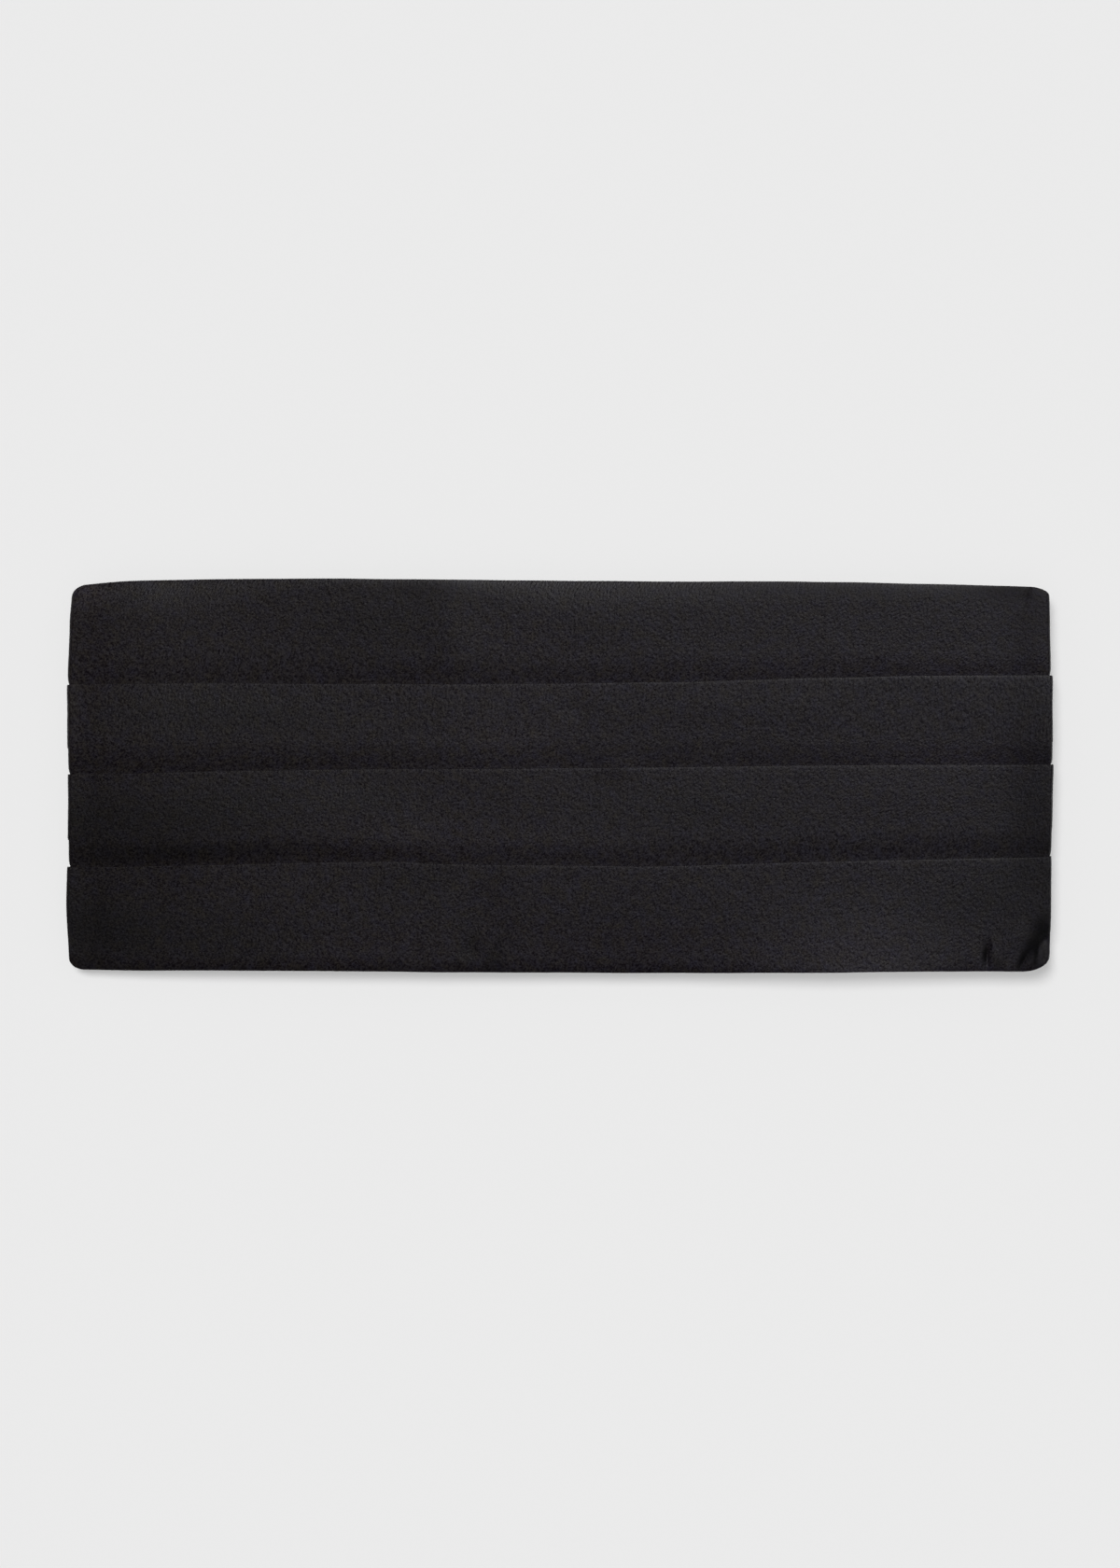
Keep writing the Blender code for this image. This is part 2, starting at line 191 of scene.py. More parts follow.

# painted shade (minus) and painted highlights (plus) in the satin's colour, placed as for the creases,
# but as a share of the colour, and how much rougher it is there
paintedShadeSpots = [
    {"at": (-153.0, -14.5), "size": (34.0, 12.0), "shade": -0.49, "matt": 0.04},
    {"at": (-125.0, -25.4), "turn": 2, "size": (42.0, 3.0), "shade": -0.34},
    {"at": (-155.0, -51.0), "size": (30.0, 15.0), "shade": -0.6, "matt": 0.08},
    {"at": (-108.0, -10.0), "size": (24.0, 10.0), "shade": -0.32},
    {"at": (-112.0, 21.0), "size": (34.0, 7.0), "shade": -0.35},
    {"at": (-108.0, -56.0), "size": (16.0, 10.0), "shade": -0.25},
    {"at": (161.0, -24.0), "size": (18.0, 32.0), "shade": -0.53, "matt": 0.06},
    {"at": (161.0, 20.0), "size": (14.0, 20.0), "shade": -0.25},
    {"at": (160.0, 52.0), "size": (12.0, 10.0), "shade": -0.15, "matt": 0.1},
    {"at": (-16.0, 13.0), "size": (20.0, 10.0), "shade": 0.25},
    {"at": (-14.0, 46.0), "size": (18.0, 8.0), "shade": 0.18},
    {"at": (-36.0, -20.0), "size": (34.0, 8.0), "shade": 0.18},
    {"at": (98.0, -60.0), "size": (26.0, 10.0), "shade": 0.29},
    {"at": (44.0, -10.0), "size": (34.0, 8.0), "shade": -0.22},
    {"at": (60.0, 36.0), "size": (60.0, 6.0), "shade": 0.14},
    {"at": (-156.0, 61.0), "size": (7.0, 4.0), "shade": 0.63},
    {"at": (150.0, 62.0), "size": (16.0, 4.0), "shade": -0.2, "matt": 0.14},
    {"at": (92.0, 62.5), "size": (52.0, 4.5), "shade": -0.1, "matt": 0.07},
    {"at": (-46.0, 62.0), "size": (18.0, 4.0), "shade": -0.13, "matt": 0.09},
    {"at": (-60.0, 51.0), "size": (24.0, 10.0), "shade": -0.22},
    {"at": (138.0, 35.0), "size": (24.0, 4.0), "shade": 0.22},
    {"at": (-12.0, 28.5), "size": (42.0, 3.0), "shade": 0.18},
    {"at": (118.0, 31.0), "size": (30.0, 3.0), "shade": -0.2},
    {"at": (129.0, 6.5), "size": (20.0, 4.0), "shade": 0.29},
    {"at": (133.0, -45.0), "size": (20.0, 16.0), "shade": -0.25},
    {"at": (-48.0, -34.0), "size": (14.0, 4.5), "shade": -0.24},
    {"at": (-63.0, -7.0), "size": (13.0, 4.5), "shade": -0.24},
    {"at": (-21.0, -60.0), "turn": 74, "size": (8.0, 3.0), "shade": -0.39},
    {"at": (-30.0, -56.5), "turn": 74, "size": (6.5, 3.5), "shade": -0.43},
    # the corner's dents: painted shadow in their creases, on top of the dents' own slopes
    {"at": (160.6, -52.8), "turn": 54, "size": (4.6, 2.8), "lee": 0.9, "shade": -0.45, "matt": 0.27,
     "sharp": True},
    {"at": (159.2, -49.6), "turn": 66, "size": (4.6, 2.8), "lee": 2.2, "shade": -0.32, "matt": 0.2},
    {"at": (157.6, -58.4), "turn": 82, "size": (3.6, 1.9), "lee": 0.9, "shade": -0.78, "matt": 0.48,
     "sharp": True},
    {"at": (155.6, -55.8), "turn": 56, "size": (3.6, 2.4), "lee": 1.8, "shade": -0.38, "matt": 0.23},
    {"at": (152.9, -61.2), "turn": 64, "size": (3.2, 1.5), "lee": 0.9, "shade": -0.76, "matt": 0.46},
    {"at": (157.0, -61.8), "size": (1.6, 1.2), "shade": -0.25, "matt": 0.15},
    {"at": (159.4, -62.6), "size": (2.6, 1.2), "shade": -0.34, "matt": 0.21},
    {"at": (160.2, -58.0), "turn": 80, "size": (2.6, 1.3), "shade": -0.3, "matt": 0.15},
    {"at": (140.9, -59.3), "turn": 86, "size": (3.2, 1.1), "lee": 0.6, "shade": -0.87, "matt": 0.53},
    {"at": (144.8, -61.6), "turn": 80, "size": (2.0, 1.0), "shade": -0.29, "matt": 0.17},
]

# spacing of the columns, and the counts of rows and columns
steps = {
    "near": 0.36 * mm,  # at the ends
    "far": 1.15 * mm,
    "nearFrom": 48 * mm,  # the spacing narrows from here, over the band
    "nearBand": 30 * mm,
    "turn": 22,
    "wing": 30,
    "hidden": 3,
    "fold": 8,
    "open": 26,
    "valley": 24,
    "last": 68,
}

halfLength = (cadHigh.x - cadLow.x) / 2
halfWidth = (cadHigh.y - cadLow.y) / 2
middleZ = (cadLow.z + cadHigh.z) / 2
topHeight = middleZ - panel["core"] / 2  # outer surface over the core
faceMid = topHeight - panel["cloth"] / 2
foldRadius = (panel["fold"] - panel["cloth"]) / 2
returnMid = faceMid - 2 * foldRadius
underMid = returnMid - panel["cloth"] - panel["layerGap"]
flatLength = halfLength - panel["endRound"]  # of half the face


def limited(value, low=0, high=1):
    return min(max(value, low), high)


def smoothStep(value):
    value = limited(value)
    return value * value * (3 - 2 * value)


def mixed(start, end, share):
    return start + (end - start) * share


def steepening(share, bend):  # from 0 to 1, curving until "bend" and straight from there
    slope = share**2 / (2 * bend) if share < bend else share - bend / 2
    return slope / (1 - bend / 2)


def waver(kind, along, across, layer=0):  # one kind of unevenness at a place
    wave = uneven[kind]
    depth = wave.get("start", 0) + layer * wave.get("apart", 0)
    return wave["by"] * noise.noise(Vector((along * wave["along"], across * wave["across"], depth)))


def lineAt(column, along):  # smooth curve through one column of the lines
    places, values = lines["along"], lines[column]
    place = limited(along, -1, 1) * flatLength / mm
    index = 0
    while index < len(places) - 2 and place > places[index + 1]:
        index += 1
    before, after = max(index - 1, 0), min(index + 2, len(places) - 1)
    start, end = values[index], values[index + 1]
    span = places[index + 1] - places[index]
    startSlope = (end - values[before]) / (places[index + 1] - places[before])
    endSlope = (values[after] - start) / (places[after] - places[index])
    t = (place - places[index]) / span
    value = (2 * t**3 - 3 * t**2 + 1) * start + (t**3 - 2 * t**2 + t) * span * startSlope
    value += (3 * t**2 - 2 * t**3) * end + (t**3 - t**2) * span * endSlope
    return value if column in ("round", "hem") else value * mm


def reachAt(tier, side, down):  # how far the turned end reaches, down one tier
    first, second, third = tier["right" if side > 0 else "left"]
    part = panel["endPart"]
    if down < part:
        inside = mixed(first, second, smoothStep(down / part))
    else:
        inside = mixed(second, third, smoothStep((down - part) / (1 - part)))
    return halfLength - inside * mm


def cornerInset(side, across, fromEnd):  # how far a corner draws a point in
    wide, deep = corners[(int(side), 1 if across > 0 else -1)]
    near = 1 - limited(fromEnd / (wide * mm))
    return deep * mm * (1 - math.sqrt(1 - near * near))


def creaseShare(crease, x, y, wider=0):  # how much of a crease is felt at a place
    dx, dy = x / mm - crease["at"][0], y / mm - crease["at"][1]
    turn = math.radians(crease.get("turn", 0))
    long, wide = crease["size"]
    u = (dx * math.cos(turn) + dy * math.sin(turn)) / (long + wider)
    v = dy * math.cos(turn) - dx * math.sin(turn)
    if v < 0:
        v /= crease.get("lee", wide) + wider
        return math.exp(-u * u - v * v)
    v /= wide + wider
    return math.exp(-u * u - (v if crease.get("sharp") else v * v))


def troughDepth(x, y, wider):  # how deep the troughs press into what lies below, this much wider in mm
    troughs = [crease for crease in creases if crease["high"] < 0]
    return sum(-crease["high"] * mm * creaseShare(crease, x, y, wider) for crease in troughs)


def creaseHeight(x, y):  # the creases and the cloth's own unevenness, over the face
    height = sum(crease["high"] * mm * creaseShare(crease, x, y) for crease in creases)
    return height + waver("face", x, y) + waver("faceFine", x, y)


def paintedShadeAt(x, y):  # painted shade or highlight in the colour at a place, 1 = none, and how much rougher it is
    bright, rougher = 1, 0
    for spot in paintedShadeSpots:
        share = creaseShare(spot, x, y)
        bright += spot["shade"] * share
        rougher += spot.get("matt", 0) * share
    return max(bright, panel["paintedShadeLeast"]), rougher


def rolledOff(distance, width, drop):  # how far an edge rounds down, this far in from it
    near = limited(1 - distance / width, 0, panel["bottomLimit"])
    return drop * (1 - math.sqrt(1 - near * near))


def easedOff(distance, width, drop, ease):  # the same, but sloping off gently from further in
    return drop * limited(1 - distance / width) ** ease


def sinking(side, along, across, fromEnd):  # how far the face lies below its highest level
    lower, upper = endSinks[(side, -1)], endSinks[(side, 1)]
    share = 0.5 + across / halfWidth / 2
    drop, band = [mixed(lower[part], upper[part], share) * mm for part in range(2)]
    below = easedOff(fromEnd, band, drop, panel["sinkEase"])
    fromTop, fromBottom = lineAt("top", along) - across, across - lineAt("bottom", along)
    topRound = lineAt("round", along)
    topBand = panel["topBand"] * mixed(panel["topLeast"], 1, topRound)
    below += easedOff(fromTop, topBand, panel["topDrop"] * topRound, panel["topEase"])
    return below + rolledOff(fromBottom, panel["bottomBand"], panel["bottomDrop"] * lineAt("hem", along))


def placeCloth(along, across, height, reach, sunk=0):
    # panel coordinates to a point in space; "sunk" lowers a point but leaves its reach
    side = math.copysign(1, along)
    part = abs(along)
    bend = reach - panel["endRound"]
    turn = math.pi * limited(part - 1)
    outwards = math.sin(turn) ** panel["endSquare"]
    upwards = math.copysign(abs(math.cos(turn)) ** panel["endSquare"], math.cos(turn))
    wing = max(part - 2, 0)
    onFace = 1 - smoothStep(part - 1)
    flatX = bend * min(part, 1) - wing * (bend - panel["wingEnd"])
    outerX = flatX + panel["endRound"] * (outwards if turn < math.pi / 2 else 1)
    share = across / halfWidth
    inset = cornerInset(side, across, reach - outerX)
    y = across - math.copysign(inset * share ** panel["cornerEase"], across) - wing * panel["taper"] * share
    lift = 0
    if onFace > 0:
        lift = onFace * (creaseHeight(side * outerX, y) - sinking(side, along, across, reach - flatX))
    if onFace < 1:  # the wings crease inwards, as they lie flat on the table
        even = smoothStep((3 - part) / panel["wingFade"])
        crease = abs(creaseHeight(-panel["wingMirror"] * side * flatX, -y))
        lift -= (1 - onFace) * crease * panel["wingCrease"] * even
    radius = panel["core"] / 2 + height + lift
    x = flatX + (panel["endRound"] - topHeight + height + sunk) * outwards
    return Vector((side * x, y, middleZ + radius * upwards))


def panelColumns():  # places along the panel, from one end of it to the other
    half, place = [0], 0
    while place < flatLength:
        near = smoothStep((place - flatLength + steps["nearFrom"]) / steps["nearBand"])
        place += mixed(steps["far"], steps["near"], near)
        half.append(min(place / flatLength, 1))
    half += [1 + (step + 1) / steps["turn"] for step in range(steps["turn"])]
    half += [2 + (step + 1) / steps["wing"] for step in range(steps["wing"])]
    return [-along for along in reversed(half[1:])] + half


def alongLength(along):  # metres of cloth from the middle
    part = abs(along)
    turned = math.pi * math.sqrt((middleZ**2 + panel["endRound"]**2) / 2)
    length = flatLength * min(part, 1) + turned * limited(part - 1)
    return math.copysign(length + (flatLength - panel["wingEnd"]) * max(part - 2, 0), along)


def turnedEdge(nose, direction):  # round a fold, as (across, height)
    rows = []
    tight = foldRadius - panel["crown"] / 2
    for step in range(steps["fold"] + 1):
        angle = math.pi * (step / steps["fold"] - 0.5)
        across = nose + direction * foldRadius * math.cos(angle)
        rows.append((across, returnMid + tight + tight * math.sin(angle)))
    return rows


def tierRows(tier, number, along):
    # rows down a tier as (across, height, sunk, share of the way down, pressed 0-1)
    last = tier["lower"] == "bottom"
    upper = lineAt(tier["upper"], along) + waver("folds", along, number)
    lower = lineAt(tier["lower"], along) + waver("folds", along, number + 1)
    onFace = 1 - smoothStep(abs(along) - 1)
    nose = upper - panel["cloth"] / 2 - foldRadius
    foot = lower + panel["cloth"] / 2 + foldRadius
    valley = belly = 0
    if not last:
        line = tier["lower"][-1]
        valley = lineAt("sag" + line, along) * (1 + waver("valleys", along, number))
        belly = lineAt("belly" + line, along) * onFace
        foot = lower + valley
    rows = []
    for step in range(steps["hidden"]):
        rows.append((nose - panel["tuck"] * (1 - step / steps["hidden"]), returnMid, 0, 0, 0))
    for across, height in turnedEdge(nose, 1):
        rows.append((across, height, 0, 0, 1))
    openSteps = steps["last" if last else "open"]
    for step in range(1, openSteps + 1):
        share = step / openSteps
        across = mixed(nose, foot, share)
        puff = panel["billow"] * math.sin(math.pi * share) ** 2 * onFace
        puff *= panel["billowEven"] + waver("billow", along, across, number)
        puff += belly * smoothStep(share)
        puff -= panel["crown"] * math.exp((across - nose) / panel["crownWidth"])
        if last:
            puff -= panel["crown"] * math.exp((foot - across) / panel["crownWidth"])
        down = (nose - across) / (nose - lower)
        pressed = math.exp((across - nose) / panel["pressWidth"])
        rows.append((across, faceMid + puff, 0, down, pressed))
    if last:
        for across, height in turnedEdge(foot, -1)[-2::-1]:
            rows.append((across, height, 0, 1, 1))
        for step in range(1, steps["hidden"] + 1):
            rows.append((foot + panel["tuck"] * step / steps["hidden"], returnMid, 0, 1, 0))
        return rows
    for step in range(1, steps["valley"] + 1):
        share = step / steps["valley"]
        across = foot - (valley - panel["dipClear"]) * share
        level = smoothStep(share ** panel["levelEase"])
        dip = mixed(steepening(share, panel["dipBend"]), level, panel["levelOut"][tier["lower"]])
        dip *= faceMid + belly - underMid
        sunk = (dip - belly) * (1 - share ** panel["dipHold"])
        down = (nose - across) / (nose - lower)
        rows.append((across, faceMid + belly - dip, sunk, down, 0))
    for step in range(1, steps["hidden"] + 1):
        rows.append((lower - panel["tuck"] * step / steps["hidden"], underMid, 0, 1, 0))
    return rows


def newObject(name, bm, material):
    mesh = bpy.data.meshes.new(name)
    bm.to_mesh(mesh)
    bm.free()
    mesh.shade_smooth()
    mesh.materials.append(material)
    piece = bpy.data.objects.new(name, mesh)
    bpy.context.scene.collection.objects.link(piece)
    return piece


def makeTier(number, material):
    tier = tiers[number]
    columns = panelColumns()
    table = [tierRows(tier, number, along) for along in columns]
    rowCount, columnCount = len(table[0]) - 1, len(columns) - 1
    middle = table[len(columns) // 2]
    downLength = [0]
    for row in range(rowCount):
        here, there = Vector(middle[row][:2]), Vector(middle[row + 1][:2])
        downLength.append(downLength[-1] + (there - here).length)
    bm = bmesh.new()
    bmesh.ops.create_grid(bm, x_segments=columnCount, y_segments=rowCount, size=0.5)
    bm.verts.index_update()
    uvLayer = bm.loops.layers.uv.new("cloth")
    pressLayer = bm.verts.layers.float.new("pressed")
    # painted shade and highlights for the satin's colour, kept on each vertex
    paintedShadeLayer = bm.verts.layers.float.new("paintedShade")
    mattLayer = bm.verts.layers.float.new("matt")
    flat = {}
    for vert in bm.verts:
        column = round((vert.co.x + 0.5) * columnCount)
        row = round((0.5 - vert.co.y) * rowCount)
        along = columns[column]
        across, height, sunk, down, pressed = table[column][row]
        reach = reachAt(tier, math.copysign(1, along), down)
        vert.co = placeCloth(along, across, height, reach, sunk)
        vert[pressLayer] = pressed
        # painted shade and highlights for the colour, and the extra roughness, per vertex
        vert[paintedShadeLayer], vert[mattLayer] = paintedShadeAt(vert.co.x, vert.co.y)
        flat[vert.index] = (alongLength(along), downLength[row] + panel["patternStep"] * number)
    for face in bm.faces:
        for loop in face.loops:
            loop[uvLayer].uv = flat[loop.vert.index]
    bmesh.ops.recalc_face_normals(bm, faces=bm.faces)
    piece = newObject(tier["piece"], bm, material)
    wall = piece.modifiers.new("cloth", "SOLIDIFY")
    wall.thickness = panel["cloth"]
    wall.offset = 0
    wall.use_even_offset = True
    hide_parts(tier["node"])
    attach(piece, "root")
    print("made", tier["piece"], len(piece.data.polygons), "faces")


# hidden layers between face and wings
layers = {
    "count": 5,
    "inset": 1.6 * mm,
    "groove": 0.9 * mm,
    "grooveEase": 0.6,
    "taper": 6.3 * mm,  # the lowest one draws in by this in the middle, with the wings
    "endInset": 2.0 * mm,
    "endRound": 0.8 * mm,
    "cornerFrom": 1.0 * mm,
    "clear": 0.1 * mm,
    "clearEnds": 1.5 * mm,
    "clearWings": 0.9 * mm,
    "creaseWider": 3,  # mm wider down here than in the face
    "measured": 0.97,  # their height is taken this share of the way out
    "between": 0.975,  # and the rows inside the long edges are drawn in to this
    "gapStart": 20 * mm,  # the wings' ends leave the middle open for the strap
    "gapEnd": 27 * mm,
    "gapRoof": 0.25 * mm,  # below the middle of the whole thickness
    "rows": 26,
    "levelsEach": 6,
    "far": 2.4 * mm,  # column spacing
    "near": 0.7 * mm,
    "nearGap": 23.5 * mm,
    "nearGapBand": 6 * mm,
    "nearEnds": 0.125,  # of half the length
}
layerBend = flatLength - layers["endInset"]
outside = 0.499  # a block's vertices past this lie on its outside


def cutBlock(counts):  # a cube with sides of 1, cut into so many parts along each axis
    bm = bmesh.new()
    bmesh.ops.create_cube(bm, size=1)
    for axis in range(3):
        edges = [e for e in bm.edges if abs((e.verts[1].co - e.verts[0].co)[axis]) > 0.5]
        bmesh.ops.subdivide_edges(bm, edges=edges, cuts=counts[axis] - 1, use_grid_fill=True)
    return bm


def layerSpan(along, across):  # lowest and highest z of the hidden layers at a place
    hidden = underMid - panel["cloth"] / 2 - layers["clear"]
    top = placeCloth(along, across, hidden, halfLength - layers["clearEnds"])
    fromMiddle = abs(along) * flatLength
    pressed = sinking(math.copysign(1, along), along, across, flatLength - fromMiddle)
    pressed += troughDepth(top.x, top.y, layers["creaseWider"])
    highest = middleZ + panel["core"] / 2 + hidden - pressed
    covered = smoothStep((fromMiddle - layers["gapStart"]) / (layers["gapEnd"] - layers["gapStart"]))
    overWings = middleZ - panel["core"] / 2 - hidden + layers["clearWings"]
    return mixed(middleZ - layers["gapRoof"], overWings, covered), min(highest, top.z)


def layerColumns():  # close together over the wings' ends and at the panel's own ends
    places, place = [0], 0
    while place < 1:
        atGap = math.exp(-((place * flatLength - layers["nearGap"]) / layers["nearGapBand"]) ** 2)
        atEnd = smoothStep(1 - (1 - place) / layers["nearEnds"])
        place += mixed(layers["far"], layers["near"], max(atGap, atEnd)) / flatLength
        places.append(min(place, 1))
    return [-along for along in reversed(places[1:])] + places


def layerEdge(along, across, x, level):  # how far in from a long edge the layers end, by level
    side = math.copysign(1, across)
    which = min(int(level * layers["count"]), layers["count"] - 1)
    within = abs(math.sin(math.pi * level * layers["count"]))
    fromEnd = 1 - abs(along)
    inset = layers["inset"] + layers["groove"] * (1 - within ** layers["grooveEase"])
    inset += layers["taper"] * fromEnd * (1 - level) + waver("layers", x, which, side)
    return inset + cornerInset(math.copysign(1, along), across, fromEnd * layerBend + layers["cornerFrom"])


def makeInnerLayers(material):
    columns = layerColumns()
    counts = (len(columns) - 1, layers["rows"], layers["count"] * layers["levelsEach"])
    bm = cutBlock(counts)
    for vert in bm.verts:
        along = columns[round((vert.co.x + 0.5) * counts[0])]
        across = mixed(lineAt("top", along), lineAt("bottom", along), 0.5 - vert.co.y)
        level = vert.co.z + 0.5
        z = mixed(*layerSpan(along, across * layers["measured"]), level)
        x = along * layerBend
        if abs(vert.co.x) > outside:
            x += math.copysign(layers["endRound"] * math.sqrt(max(0, 1 - (2 * level - 1) ** 2)), x)
        if abs(vert.co.y) > outside:
            across -= math.copysign(layerEdge(along, across, x, level), across)
        else:
            across *= layers["between"]
        vert.co = Vector((x, across, z))
    bmesh.ops.recalc_face_normals(bm, faces=bm.faces)
    piece = newObject("innerLayers", bm, material)
    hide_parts("inner_layers")
    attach(piece, "root")
    print("made innerLayers", len(piece.data.polygons), "faces")


# the waist strap over the gap between the wings' ends
strap = {
    "width": 26.0 * mm,
    "narrowed": 0.5 * mm,  # between its ends
    "thick": 1.1 * mm,
    "pinched": 0.5 * mm,  # where its ends are sewn in, over the wings
    "pinchFrom": 9.0 * mm,
    "pinchBand": 6.0 * mm,
    "level": 2.0 * mm,
    "endLevel": 1.22 * mm,
    "reach": 18.0 * mm,
    "ribs": 17,
    "ribHeight": 0.09 * mm,
    "ribEase": 0.7,
    "ribPinched": 0.5,  # share of their height lost at the ends
    "edgeBand": 0.015,  # share of the width where the edges thin out
    "edgeThin": 0.35,
    "columns": 40,
    "rowsEach": 6,
}


def makeStrap(material):
    bm = cutBlock((strap["columns"], strap["ribs"] * strap["rowsEach"], 2))
    for vert in bm.verts:
        x = vert.co.x * 2 * strap["reach"]
        pinch = smoothStep((abs(x) - strap["pinchFrom"]) / strap["pinchBand"])
        rib = abs(math.sin(math.pi * (vert.co.y + 0.5) * strap["ribs"])) ** strap["ribEase"]
        half = mixed(strap["thick"], strap["pinched"], pinch) / 2
        half += strap["ribHeight"] * (rib - 1) * (1 - strap["ribPinched"] * pinch)
        half *= 1 - strap["edgeThin"] * limited(1 - (0.5 - abs(vert.co.y)) / strap["edgeBand"])
        z = mixed(strap["level"], strap["endLevel"], pinch) + 2 * vert.co.z * half
        y = vert.co.y * (strap["width"] - strap["narrowed"] * (1 - pinch))
        vert.co = Vector((x, y, z))
    bmesh.ops.recalc_face_normals(bm, faces=bm.faces)
    piece = newObject("waistStrap", bm, material)
    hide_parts("strap")
    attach(piece, "root")
    print("made waistStrap", len(piece.data.polygons), "faces")


slide = {
    "length": 14.0 * mm,
    "width": 31.0 * mm,
    "height": 3.2 * mm,
    "slotWidth": 26.6 * mm,
    "slotHeight": 1.8 * mm,
    "slotInset": 0.4 * mm,
    "corner": 1.5 * mm,
    "cornerSteps": 4,
    "round": 0.45 * mm,
    "roundSteps": 3,
    "roundAngle": 40,  # degrees; sharper edges than this are rounded
}


def makeSlide(material):
    bm = bmesh.new()
    bmesh.ops.create_cube(bm, size=1)
    bmesh.ops.scale(bm, vec=(slide["length"], slide["width"], slide["height"]), verts=bm.verts)
    upright = [e for e in bm.edges if abs(e.verts[0].co.z - e.verts[1].co.z) > slide["height"] / 2]
    bmesh.ops.bevel(bm, geom=upright, offset=slide["corner"], segments=slide["cornerSteps"],
                    profile=0.5, affect="EDGES", material=-1)
    ends = [f for f in bm.faces if abs(f.normal.x) > 0.99]
    bmesh.ops.inset_individual(bm, faces=ends, thickness=slide["slotInset"])
    for end in ends:
        for vert in end.verts:
            vert.co.y = math.copysign(slide["slotWidth"] / 2, vert.co.y)
            vert.co.z = math.copysign(slide["slotHeight"] / 2, vert.co.z)
    rims = [edge for end in ends for edge in end.edges]
    bmesh.ops.delete(bm, geom=ends, context="FACES_ONLY")
    bmesh.ops.bridge_loops(bm, edges=rims)
    bmesh.ops.translate(bm, vec=(0, 0, strap["level"]), verts=bm.verts)
    bmesh.ops.recalc_face_normals(bm, faces=bm.faces)
    piece = newObject("strapSlide", bm, material)
    soft = piece.modifiers.new("rounded", "BEVEL")
    soft.width = slide["round"]
    soft.segments = slide["roundSteps"]
    soft.limit_method = "ANGLE"
    soft.angle_limit = math.radians(slide["roundAngle"])
    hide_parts("strap_slide")
    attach(piece, "root")
    print("made strapSlide", len(piece.data.polygons), "faces")


def fillInputs(tree, node, inputs):  # each input is linked to an output or set to a value
    for label, value in inputs.items():
        if isinstance(value, bpy.types.NodeSocket):
            tree.links.new(value, node.inputs[label])
        else:
            node.inputs[label].default_value = value


def addNode(tree, kind, inputs, label="", **settings):
    node = tree.nodes.new(kind)
    node.label = label
    for name, value in settings.items():
        setattr(node, name, value)
    fillInputs(tree, node, inputs)
    return node


def mathNode(tree, operation, *values):
    return addNode(tree, "ShaderNodeMath", dict(enumerate(values)), operation=operation).outputs[0]


def rangeNode(tree, label, value, start=(0, 1), end=(0, 1)):
    inputs = {"Value": value, "From Min": start[0], "From Max": start[1], "To Min": end[0], "To Max": end[1]}
    return addNode(tree, "ShaderNodeMapRange", inputs, label).outputs[0]


def mixNode(tree, label, factor, first, second, blend="MIX"):
    inputs = {"Factor": factor, "A": first, "B": second}
    node = addNode(tree, "ShaderNodeMix", inputs, label, data_type="RGBA", blend_type=blend)
    return node.outputs["Result"]


def placed(tree, vector, scale, turn=0, stretch=(1, 1, 1)):  # pattern coordinates, turned about Z in degrees
    size = [1 / (scale * share) for share in stretch]
    inputs = {"Vector": vector, "Scale": size, "Rotation": (0, 0, math.radians(turn))}
    return addNode(tree, "ShaderNodeMapping", inputs, vector_type="TEXTURE").outputs[0]


def noiseNode(tree, vector, detail, roughness=0.5):
    inputs = {"Vector": vector, "Scale": 1, "Detail": detail, "Roughness": roughness}
    return addNode(tree, "ShaderNodeTexNoise", inputs).outputs["Fac"]


def bumpNode(tree, label, height, strength, distance):
    inputs = {"Height": height, "Strength": strength, "Distance": distance}
    return addNode(tree, "ShaderNodeBump", inputs, label).outputs[0]


def attributeNode(tree, name, label):
    return addNode(tree, "ShaderNodeAttribute", {}, label, attribute_name=name).outputs["Fac"]


def objectPlace(tree):
    return addNode(tree, "ShaderNodeTexCoord", {}).outputs["Object"]


def newMaterial(name):
    material = bpy.data.materials.new(name)
    material.use_nodes = True
    return material, material.node_tree, material.node_tree.nodes["Principled BSDF"]


def newGroup(name, inputs, outputs):
    group = bpy.data.node_groups.new(name, "ShaderNodeTree")
    for label, kind, value in inputs:
        socket = group.interface.new_socket(label, in_out="INPUT", socket_type=kind)
        if value is not None:
            socket.default_value = value
    for label, kind in outputs:
        group.interface.new_socket(label, in_out="OUTPUT", socket_type=kind)
    return group, group.nodes.new("NodeGroupInput"), group.nodes.new("NodeGroupOutput")


weave = {
    "floats": {"scale": 2300, "turn": 8, "stretch": (1, 1.15, 1)},  # threads' short floats, per metre
    "floatShare": 0.43,
    "slubs": {"scale": 1380, "turn": -56, "stretch": (0.62, 1.05, 1)},
    "slubDetail": 1,
    "slubShare": 0.50,
    "mottle": {"scale": 300, "turn": 21},
    "mottleDetail": 2,
    "mottleShare": 0.05,
    "mottleHeight": 0.3,
    "spread": (0.27, 0.73),  # the tones between these fill the range from dark to light
}


